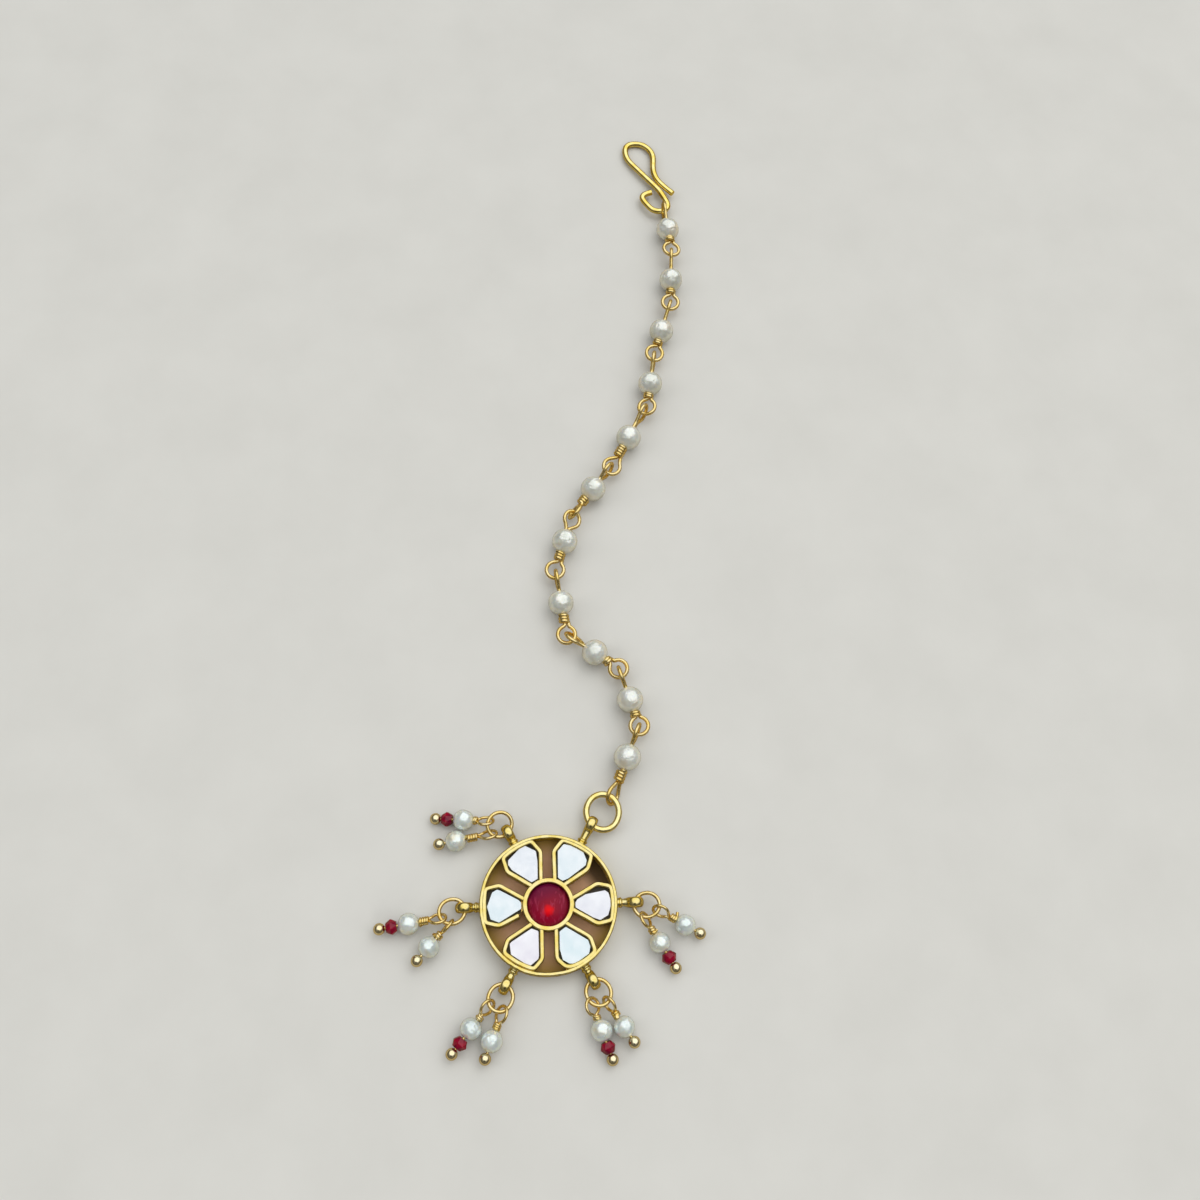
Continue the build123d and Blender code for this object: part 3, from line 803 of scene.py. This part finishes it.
def makeLinkWires():
    rng = random.Random(linkWire["seed"])
    routes = []
    radius, pitch, loop, wire = linkWire["radius"], linkWire["pitch"], chain["loop"], chain["wire"]
    for entry, taper in zip(links, linkWire["tapers"]):
        row = entry["row"]
        room = row["lower"] + wire - 0.24 - min(taper, 0.6)
        wraps = max(1, floor(room / pitch + 0.35))  # as many turns as the neck has room for
        lower = loopRoute(loop, wire, radius, row["lower"], wraps, pitch, linkWire["tail"], taper)
        upper = loopRoute(loop, wire, radius, row["upper"], 0, pitch, 0, 1.0)
        lowerPlace = strandPlace(entry["lower"], row["heading"], row["tilt"], row["lowerTwist"]) @ facingBack
        upperPlace = strandPlace(entry["upper"], row["heading"], row["tilt"], row["upperTwist"])
        route = [lowerPlace @ point for point in reversed(lower)] + [upperPlace @ point for point in upper]
        routes.append(wireEnds(relaxRoute(route, linkWire["step"], 2), radius, rng))
    makeWire("chainLinks", routes, linkWire, nodesNamed("chain_link_"))


pinWire = dict(
    metal="wireGold", radius=0.22, sides=14, grain=0.02, grainScale=1.3, step=0.08, pitch=0.40,
    tails=(0.3, 0.8, 0.4, 0.3, 0.3, 0.5, 1.1, 0.3, 0.4, 0.7),
    rests=(0.2, 0.5, 0.7, 0.3, 0.6, 0.1, 0.35, 0.8, 0.5, 0.25),
    tapers=(0.2, 0.2, 0.12, 0.4, 0.2, 0.2, 0.12, 0.2, 0.12, 0.15), seed=11)


def makePinWires():
    rng = random.Random(pinWire["seed"])
    routes = []
    radius, pitch, wire = pinWire["radius"], pinWire["pitch"], drop["wire"]
    habits = zip(pinWire["tails"], pinWire["rests"], pinWire["tapers"])
    for entry, (tail, rest, taper) in zip(drops, habits):
        item = entry["item"]
        wraps = max(1, min(4, floor((item["neck"] + wire - 0.1 - taper) / pitch + 0.3)))
        loop = loopRoute(drop["loop"], wire, radius, item["neck"], wraps, pitch, tail, taper, rest, 0.1)
        place = strandPlace(entry["loop"], entry["heading"], item["tilt"], item["twist"]) @ facingBack
        route = [place @ point for point in reversed(loop)] + [entry["ball"]]
        routes.append(wireEnds(relaxRoute(route, pinWire["step"], 2), radius, rng, 0.04))
    makeWire("dropPins", routes, pinWire, nodesNamed("drop_pins_"))


def ringRoute(place, radius, ring):
    # an open ring whose two cut ends nearly meet at its joint; it is a little oval, and the big
    # ring has one blunt corner
    points = []
    count = 72
    for step in range(count + 1):
        share = step / count
        angle = ring["joint"] + ring["gap"] / 2 + (360 - ring["gap"]) * share
        oval = ring["oval"] * cos(radians(2 * (angle - ring["axis"])))
        corner = ring.get("corner", 0) * max(0.0, cos(radians(angle - ring.get("cornerAt", 0)))) ** 6
        rise = ring["offset"] * (share - 0.5) * 2 * abs(share - 0.5) * 2
        points.append(ringPoint(place, radius * (ring.get("size", 1) + oval + corner), angle, rise))
    return points


dropRingWire = dict(  # a tenth stouter than the solids' wire, as is the big ring's
    metal="wireGold", radius=dropRing["wire"] * 1.1, sides=20, grain=0.03, grainScale=0.8,
    gap=5, offset=0.05, rings=(
        dict(joint=150, oval=0.035, axis=20), dict(joint=-60, oval=0.03, axis=80),
        dict(joint=-120, oval=0.04, axis=0), dict(joint=130, oval=0.045, axis=0),
        dict(joint=-130, oval=0.04, axis=10)))
bigRingWire = dict(
    metal="ringGold", radius=bigRing["wire"] * 1.1, width=1.15, sides=28, grain=0.05, grainScale=0.7,
    size=0.99, joint=-104, gap=4, offset=0.08, oval=0.035, axis=43, corner=0.035, cornerAt=-112)


def makeRings():
    routes = []
    for place, ring in zip(dropRingPlaces, dropRingWire["rings"]):
        points = ringRoute(place, dropRing["radius"], {**dropRingWire, **ring})
        routes.append(wireEnds(points, dropRing["wire"]))
    makeWire("dropRings", routes, dropRingWire, nodesNamed("drop_ring_"))
    points = ringRoute(bigRingPlace, bigRing["radius"], bigRingWire)
    makeWire("bigRing", [wireEnds(points, bigRing["wire"])], bigRingWire, ["link_ring"], flatWireTree)


# The hook's wire is beaten a little wider where its two runs lie close, at a share of its length.
hookWire = dict(
    metal="hookGold", radius=hook["wire"], width=1.1, sides=32, grain=0.05, grainScale=0.5,
    step=0.16, smoothing=24, swell=0.15, swellAt=0.6, swellReach=0.09)


def makeHook():
    route = bendRoute(hook["route"], hook["bends"])
    points = [hookPlace @ Vector((point.x, point.y, 0)) for point in route]
    entries = wireEnds(relaxRoute(points, hookWire["step"], hookWire["smoothing"]), hook["wire"])
    last = len(entries) - 1
    swollen = []
    for at, (point, girth) in enumerate(entries):
        near = exp(-((at / last - hookWire["swellAt"]) / hookWire["swellReach"]) ** 2)
        swollen.append((point, girth * (1 + hookWire["swell"] * near)))
    makeWire("hairHook", [swollen], hookWire, ["hair_hook"], flatWireTree)


makeLinkWires()
makePinWires()
makeRings()
makeHook()
print("wires ready")


def keepMesh(work, name):
    # the worked mesh with its doubles merged and its faces outwards
    bmesh.ops.remove_doubles(work, verts=work.verts, dist=1e-5)
    bmesh.ops.recalc_face_normals(work, faces=work.faces)
    mesh = bpy.data.meshes.new(name)
    work.to_mesh(mesh)
    work.free()
    return mesh


def ringAbout(work, along, out, sides, turn=0):
    # a ring of vertices about X
    angles = [2 * pi * (i + turn) / sides for i in range(sides)]
    return [work.verts.new((along, out * cos(angle), out * sin(angle))) for angle in angles]


def bridge(work, first, second):
    # four-sided faces from one ring of vertices to the next
    for i in range(len(first)):
        j = (i + 1) % len(first)
        work.faces.new((first[i], first[j], second[j], second[i]))


def latheMesh(name, profile, sides, closed=True):
    # turns a profile of (along, out) about X
    work = bmesh.new()
    rings = [ringAbout(work, along, out, sides) for along, out in profile]
    for first, second in zip(rings, rings[1:] + (rings[:1] if closed else [])):
        bridge(work, first, second)
    return keepMesh(work, name)


def ballMesh(name, ball):
    # a drilled ball: the hole's edge is slightly eased and the bore runs right through
    radius, bore, lip = ball["radius"], ball["bore"], ball["lip"]
    start = atan2(bore + lip, radius)
    profile = []
    for row in range(ball["rows"] + 1):
        angle = start + (pi - 2 * start) * row / ball["rows"]
        profile.append((-radius * cos(angle), radius * sin(angle)))
    edge = profile[0][0]
    lips = [(edge + lip, bore), (edge + 0.3 * lip, bore + 0.3 * lip)]
    profile = lips + profile + [(-along, out) for along, out in reversed(lips)]
    return latheMesh(name, profile, ball["sides"])


def redBeadMesh(name):
    # two crowns of sixteen triangles each, meeting at a thin girdle, with the edges eased
    half, girdle, boreSides = drop["beadLength"] / 2, 0.06, 16
    work = bmesh.new()
    rings = [ringAbout(work, -half, drop["beadEnd"], 8), ringAbout(work, -girdle, drop["bead"], 8, 0.5),
             ringAbout(work, girdle, drop["bead"], 8, 0.5), ringAbout(work, half, drop["beadEnd"], 8)]
    for i in range(8):
        j = (i + 1) % 8
        work.faces.new((rings[0][i], rings[0][j], rings[1][i]))
        work.faces.new((rings[1][i], rings[0][j], rings[1][j]))
        work.faces.new((rings[1][i], rings[1][j], rings[2][j], rings[2][i]))
        work.faces.new((rings[3][i], rings[2][i], rings[3][j]))
        work.faces.new((rings[2][i], rings[2][j], rings[3][j]))
    holes = [ringAbout(work, end, drop["bore"], boreSides) for end in (-half, half)]
    for hole, ring in ((holes[0], rings[0]), (holes[1], rings[3])):
        for i in range(8):
            j = (i + 1) % 8
            work.faces.new((ring[i], hole[2 * i], hole[2 * i + 1]))
            work.faces.new((ring[i], hole[2 * i + 1], ring[j]))
            work.faces.new((ring[j], hole[2 * i + 1], hole[(2 * i + 2) % boreSides]))
    bridge(work, *holes)
    bmesh.ops.recalc_face_normals(work, faces=work.faces)
    sharp = [edge for edge in work.edges if edge.calc_face_angle(0) > radians(12)
             and min(v.co.yz.length for v in edge.verts) > drop["bore"] * 1.2]
    bmesh.ops.bevel(work, geom=sharp, offset=0.02, segments=1, affect="EDGES", clamp_overlap=True)
    return keepMesh(work, name)


# Spread is how much the beads of a kind differ in girth.
chainPearls = dict(
    radius=chain["pearl"], bore=chain["bore"], lip=0.05, sides=56, rows=36, spread=0.03,
    grain=0.10, grainScale=0.35, smooth=True, material=nacre["chainNacre"], slot="pearl")
dropPearls = dict(
    radius=drop["pearl"], bore=drop["bore"], lip=0.05, sides=48, rows=32, spread=0.05,
    grain=0.10, grainScale=0.45, smooth=True, material=nacre["dropNacre"], slot="pearl")
redBeads = dict(spread=0.03, grain=0.0, grainScale=1.0, smooth=False, material=redGlass, slot="red_bead")
pinBalls = dict(
    radius=drop["ball"], bore=0.12, lip=0.03, sides=40, rows=24, spread=0.02,
    grain=0.03, grainScale=0.8, smooth=True, material=gold["ballGold"], slot="gold")
beadSeed = 23


def stringBeads(name, mesh, bead, places, rng, nodes):
    # a bead at each place, its hole along the strand, turned about it by chance
    rows = []
    for place, forward in places:
        girth = [1 + rng.uniform(-bead["spread"], bead["spread"] * 0.3) for _ in range(3)]
        rows.append((place, forward, girth, rng.uniform(0, 6)))
    pattern = newObject(name + "Pattern", mesh)
    item = pointObject(name, rows)
    runTree(item, stringTree, {
        "Bead": pattern, "Grain": bead["grain"], "Grain Scale": bead["grainScale"],
        "Smooth": bead["smooth"], "Material": bead["material"]})
    bpy.data.objects.remove(pattern)
    finishPiece(item, nodes)


def makeBeads():
    rng = random.Random(beadSeed)
    places = [(entry["pearl"], entry["forward"]) for entry in links]
    stringBeads("chainPearls", ballMesh("chainPearl", chainPearls), chainPearls, places, rng,
                nodesNamed("chain_pearl_"))
    places = [(entry["pearl"], entry["forward"]) for entry in drops]
    stringBeads("dropPearls", ballMesh("dropPearl", dropPearls), dropPearls, places, rng,
                nodesNamed("drop_pearl_"))
    places = [(entry["bead"], entry["forward"]) for entry in drops if entry["item"]["red"]]
    stringBeads("redBeads", redBeadMesh("redBead"), redBeads, places, rng, nodesNamed("drop_red_bead_"))
    places = [(entry["ball"], entry["forward"]) for entry in drops]
    stringBeads("pinBalls", ballMesh("pinBall", pinBalls), pinBalls, places, rng, nodesNamed("drop_pins_"))


makeBeads()
print("beads ready")


pendantWalls = dict(
    rimReach=9.71, rimWall=0.57, rimSteps=240, centreReach=3.40, centreWall=0.74, centreSteps=110,
    petalWall=0.65, petalHeight=2.74, petalStep=0.28, petalUneven=0.02,
    petalCorners=((3.3, 0.68), (7.08, 2.82), (9.1, 2.38)), petalBends=(0.5, 0.35, 9.0, 0.35, 0.5),
    crown=0.2, grain=0.11, grainScale=1.4, seed=5)
# Places are (reach, across) along the petal's heading. The bow is how far out a petal's wall reaches,
# moved gives, by their number, those of its corners that differ from the other petals', and tip is
# the stone's lean in degrees about its length and its breadth.
petalRows = (
    dict(heading=-0.9, bow=9.42, tint=0.7, tip=(1.0, -0.6), stone=(
        (3.93, 0.2), (4.2, 0.64), (5.4, 1.34), (8.2, 1.85), (8.7, 1.5), (8.98, 0.5), (8.96, -0.5),
        (8.6, -1.6), (7.45, -2.26), (6.4, -1.87), (3.95, -0.46))),
    dict(heading=61.2, bow=9.4, tint=0.2, tip=(0.4, 0.8), stone=(
        (4.0, 0.5), (7.35, 2.28), (8.65, 1.96), (8.95, 0.8), (8.9, -1.1), (8.1, -2.05), (7.4, -2.25),
        (4.6, -0.88), (3.92, -0.3))),
    dict(heading=119.2, bow=9.45, tint=0.5, tip=(-0.6, 0.3), stone=(
        (3.98, 0.5), (6.9, 2.05), (7.85, 2.15), (8.4, 1.85), (9.0, -0.3), (8.92, -1.3), (7.5, -2.25),
        (6.1, -1.72), (3.95, -0.5))),
    dict(heading=179.6, bow=9.3, tint=0.1, tip=(0.2, 0.9), stone=(
        (3.95, 0.5), (5.0, 1.12), (7.1, 2.32), (8.3, 1.85), (8.82, 0.1), (8.1, -1.85), (7.4, -2.26),
        (6.9, -2.08), (4.3, -0.7), (3.93, -0.3)), moved={6: (4.3, 1.45)}, short=True),
    dict(heading=240.4, bow=9.2, tint=0.9, tip=(-0.9, -0.5), stone=(
        (3.95, 0.48), (6.85, 2.15), (7.3, 2.28), (8.55, 1.75), (8.7, 0.8), (8.55, -1.4), (7.4, -2.26),
        (7.0, -2.16), (4.1, -0.56)), moved={2: (8.85, -2.4), 4: (8.85, 2.4)}),
    dict(heading=299.5, bow=9.45, tint=0.0, tip=(0.7, -0.8), stone=(
        (4.0, 0.54), (7.2, 2.3), (8.15, 2.1), (8.85, 1.45), (9.0, -0.9), (8.55, -1.6), (7.65, -2.12),
        (6.2, -1.76), (4.1, -0.56)), moved={2: (8.95, -2.25)}, bends=(0.8, 1.3, 9.0, 0.4, 0.5)),
)


def turned(point, heading, height=0.0):
    # a place given along a heading, brought to the pendant's own axes
    angle = radians(heading)
    return Vector((point.x * cos(angle) - point.y * sin(angle),
                   point.x * sin(angle) + point.y * cos(angle), height))


def circleRoute(radius, height, count, shape=None):
    points = []
    for i in range(count):
        angle = 360 * i / count
        reach = radius + (shape(angle) if shape else 0)
        points.append(direction(angle) * reach + Vector((0, 0, height)))
    return points


def joinInto(name, items):
    bpy.ops.object.select_all(action="DESELECT")
    for item in items:
        item.select_set(True)
    bpy.context.view_layer.objects.active = items[0]
    bpy.ops.object.join()
    items[0].name = name
    return items[0]


def rimDent(angle):
    # the rim is pressed in a little across from the chain, and is nowhere quite round
    return -0.10 * max(0.0, cos(radians(angle - 272))) ** 40 + 0.03 * sin(radians(3 * angle + 40))


def wallRoute(row, height):
    side = pendantWalls["petalCorners"]
    corners = [(reach, -half) for reach, half in side] + [(row["bow"], 0)]
    corners += [(reach, half) for reach, half in reversed(side)]
    for index, corner in row.get("moved", {}).items():
        corners[index] = corner
    flat = bendRoute(corners, row.get("bends", pendantWalls["petalBends"]), turnStep=14)
    route = relaxRoute(flat, pendantWalls["petalStep"], 1)
    return [turned(point, row["heading"], height) for point in route]


def makeWalls():
    walls, middle = pendantWalls, pendant["height"] / 2
    rng = random.Random(walls["seed"])
    rim = [(point, 1.0) for point in circleRoute(walls["rimReach"], middle, walls["rimSteps"], rimDent)]
    centre = [(point, 1.0) for point in circleRoute(walls["centreReach"], middle, walls["centreSteps"])]
    uneven = walls["petalUneven"]
    petals = [[(point, 1 + rng.uniform(-uneven, uneven)) for point in wallRoute(row, middle)]
              for row in petalRows]
    pieces = []
    for name, routes, closed, wall, height in (
            ("rimBand", [rim], True, walls["rimWall"], pendant["height"]),
            ("centreWall", [centre], True, walls["centreWall"], pendant["height"]),
            ("petalWalls", petals, False, walls["petalWall"], walls["petalHeight"])):
        item = routeObject(name, routes, closed)
        runTree(item, wallTree, {
            "Wall": wall, "Height": height, "Crown": walls["crown"], "Grain": walls["grain"],
            "Grain Scale": walls["grainScale"], "Material": gold["castGold"]})
        pieces.append(item)
    finishPiece(joinInto("pendantWalls", pieces), ["pendant_frame"])


def plateMesh(name, outline, low, high, bevel=0.0):
    # a flat plate between two heights with an eased upper edge
    work = bmesh.new()
    levels = [(low, 0.0), (high - bevel, 0.0)] + ([(high, bevel)] if bevel else [])
    centre = sum(outline, Vector((0, 0, 0))) / len(outline)
    rings = []
    for height, inset in levels:
        ring = []
        for point in outline:
            inward = (centre - point).normalized() * inset
            ring.append(work.verts.new((point.x + inward.x, point.y + inward.y, height)))
        rings.append(ring)
    for first, second in zip(rings, rings[1:]):
        bridge(work, first, second)
    work.faces.new(list(reversed(rings[0])))
    work.faces.new(rings[-1])
    return keepMesh(work, name)


# Outlines are (reach, across) along a petal's heading; the short one stays inside a wall that ends early.
backPlate = dict(
    low=0.12, high=1.25, disc=3.4,
    outline=((3.2, -1.0), (7.15, -2.9), (9.4, -2.3), (9.4, 2.3), (7.15, 2.9), (3.2, 1.0)),
    short=((3.2, -1.0), (7.15, -2.9), (9.4, -2.3), (9.4, 2.3), (7.15, 2.9), (4.3, 1.3), (3.3, 0.1)))
lacBed = dict(
    low=1.2, high=1.75, disc=3.3,
    outline=((3.4, -0.95), (7.1, -2.8), (9.2, -2.2), (9.2, 2.2), (7.1, 2.8), (3.4, 0.95)),
    short=((3.95, -0.95), (7.1, -2.8), (9.2, -2.2), (9.2, 2.2), (7.1, 2.8), (3.95, 0.95)))


def makePlates(name, plate, material):
    # a plate under each petal and a disc under the centre stone
    outlines = []
    for row in petalRows:
        corners = plate["short" if row.get("short") else "outline"]
        outlines.append([turned(point, row["heading"]) for point in bendRoute(corners, 0.4, True, 20)])
    outlines.append(circleRoute(plate["disc"], 0, 64))
    plates = [newObject(name, plateMesh(name, outline, plate["low"], plate["high"])) for outline in outlines]
    finishPiece(joinInto(name, plates), ["pendant_frame"], material)


lugShape = dict(root=9.6, rootFlare=0.25, footFlare=0.12, foot=10.02, neck=10.2, afterCollar=0.5,
                stemSides=40, eyeSides=56, eyeSteps=20, voxel=0.1, softening=8)


def stemProfile(lug):
    # (along, out) from the rim outwards: flared root, beaded collar, and the swelling under the eye
    sizes, shape = lugSizes, lugShape
    far = lug["reach"] - sizes["eyeRadius"]
    collarStart = pendant["radius"] + sizes["collarGap"]
    profile = [(shape["root"], 0.0), (shape["root"], sizes["stem"] + shape["rootFlare"]),
               (shape["foot"], sizes["stem"] + shape["footFlare"]), (shape["neck"], sizes["stem"])]
    for step in range(7):
        angle = pi * step / 6
        profile.append((collarStart + sizes["collarThick"] * (0.5 - 0.5 * cos(angle)),
                        sizes["stem"] + (sizes["collar"] - sizes["stem"]) * sin(angle)))
    profile += [(collarStart + shape["afterCollar"], sizes["stem"] * 0.85),
                (far - 0.25, sizes["bail"] * 0.9), (far + 0.1, sizes["bail"]),
                (far + 0.35, sizes["bail"] * 0.9), (far + 0.35, 0.0)]
    return profile


def makeLugs():
    # stem, collar and barrel melted together at each lug
    section = []
    for step in range(lugShape["eyeSteps"]):
        angle = 2 * pi * step / lugShape["eyeSteps"]
        section.append((lugSizes["widthHalf"] * sin(angle),
                        lugSizes["eyeRadius"] + lugSizes["wallHalf"] * cos(angle)))
    parts = []
    for lug in (chainLug, *dropLugs):
        stem = latheMesh("stem", stemProfile(lug), lugShape["stemSides"], closed=False)
        stem.transform(strandPlace((0, 0, lugSizes["height"]), lug["heading"]))
        eye = latheMesh("eye", section, lugShape["eyeSides"])
        eye.transform(strandPlace(lugEye(lug), lug["heading"] + 90))
        parts += [newObject("stem", stem), newObject("eye", eye)]
    item = joinInto("pendantLugs", parts)
    melt = item.modifiers.new("melt", "REMESH")
    melt.mode, melt.voxel_size = "VOXEL", lugShape["voxel"]
    melt.use_smooth_shade = True
    soften = item.modifiers.new("soften", "SMOOTH")
    soften.factor, soften.iterations = 0.5, lugShape["softening"]
    keepEvaluated(item)
    finishPiece(item, ["pendant_frame"], gold["castGold"])


stoneCut = dict(low=1.4, bevel=0.04, corner=0.18, middle=6.5, longer=1.02, wider=1.025,
                leanAbout=(6.8, 0, 2.0))
dome = dict(radius=3.0, rise=0.8, low=1.4, girdle=2.15, sides=72, rows=18)


def makePetalStones():
    cut = stoneCut
    about = Matrix.Translation(Vector(cut["leanAbout"]))
    for number, row in enumerate(petalRows, 1):
        outline = []
        for corner in bendRoute(row["stone"], cut["corner"], True, 30):
            reach = cut["middle"] + (corner.x - cut["middle"]) * cut["longer"]
            outline.append(Vector((reach, corner.y * cut["wider"], 0)))
        name = f"petalStone{number}"
        mesh = plateMesh(name, outline, cut["low"], pendant["stoneTop"], cut["bevel"])
        aside, ahead = (radians(lean) for lean in row["tip"])
        lean = Matrix.Rotation(aside, 4, "X") @ Matrix.Rotation(ahead, 4, "Y")
        mesh.transform(about @ lean @ about.inverted())
        mesh.transform(Matrix.Rotation(radians(row["heading"]), 4, "Z"))
        keepPointValues(mesh, "tint", "FLOAT", [row["tint"]] * len(mesh.vertices))
        finishPiece(newObject(name, mesh), [f"petal_stone_{number}"], mirrorGlass)


def makeCentreStone():
    radius, rise, low, girdle = dome["radius"], dome["rise"], dome["low"], dome["girdle"]
    profile = [(low, 0.0), (low, radius - 0.05), (low + 0.05, radius), (girdle - 0.04, radius),
               (girdle + 0.02, radius - 0.04)]
    curve = (radius ** 2 + rise ** 2) / (2 * rise)
    for step in range(1, dome["rows"] + 1):
        reach = (radius - 0.06) * (1 - step / dome["rows"])
        profile.append((girdle + sqrt(curve ** 2 - reach ** 2) - (curve - rise), reach))
    mesh = latheMesh("centreStone", profile, dome["sides"], closed=False)
    mesh.transform(Matrix.Rotation(-pi / 2, 4, "Y"))
    mesh.polygons.foreach_set("use_smooth", [True] * len(mesh.polygons))
    finishPiece(newObject("centreStone", mesh), ["centre_stone"], rubyGlass)


makeWalls()
makePlates("pendantBack", backPlate, gold["backGold"])
# the stones' lac beds, near-black as painted shade in the gaps round the stones
makePlates("stoneBeds", lacBed, darkLac)
makeLugs()
makePetalStones()
makeCentreStone()
print("pendant ready")
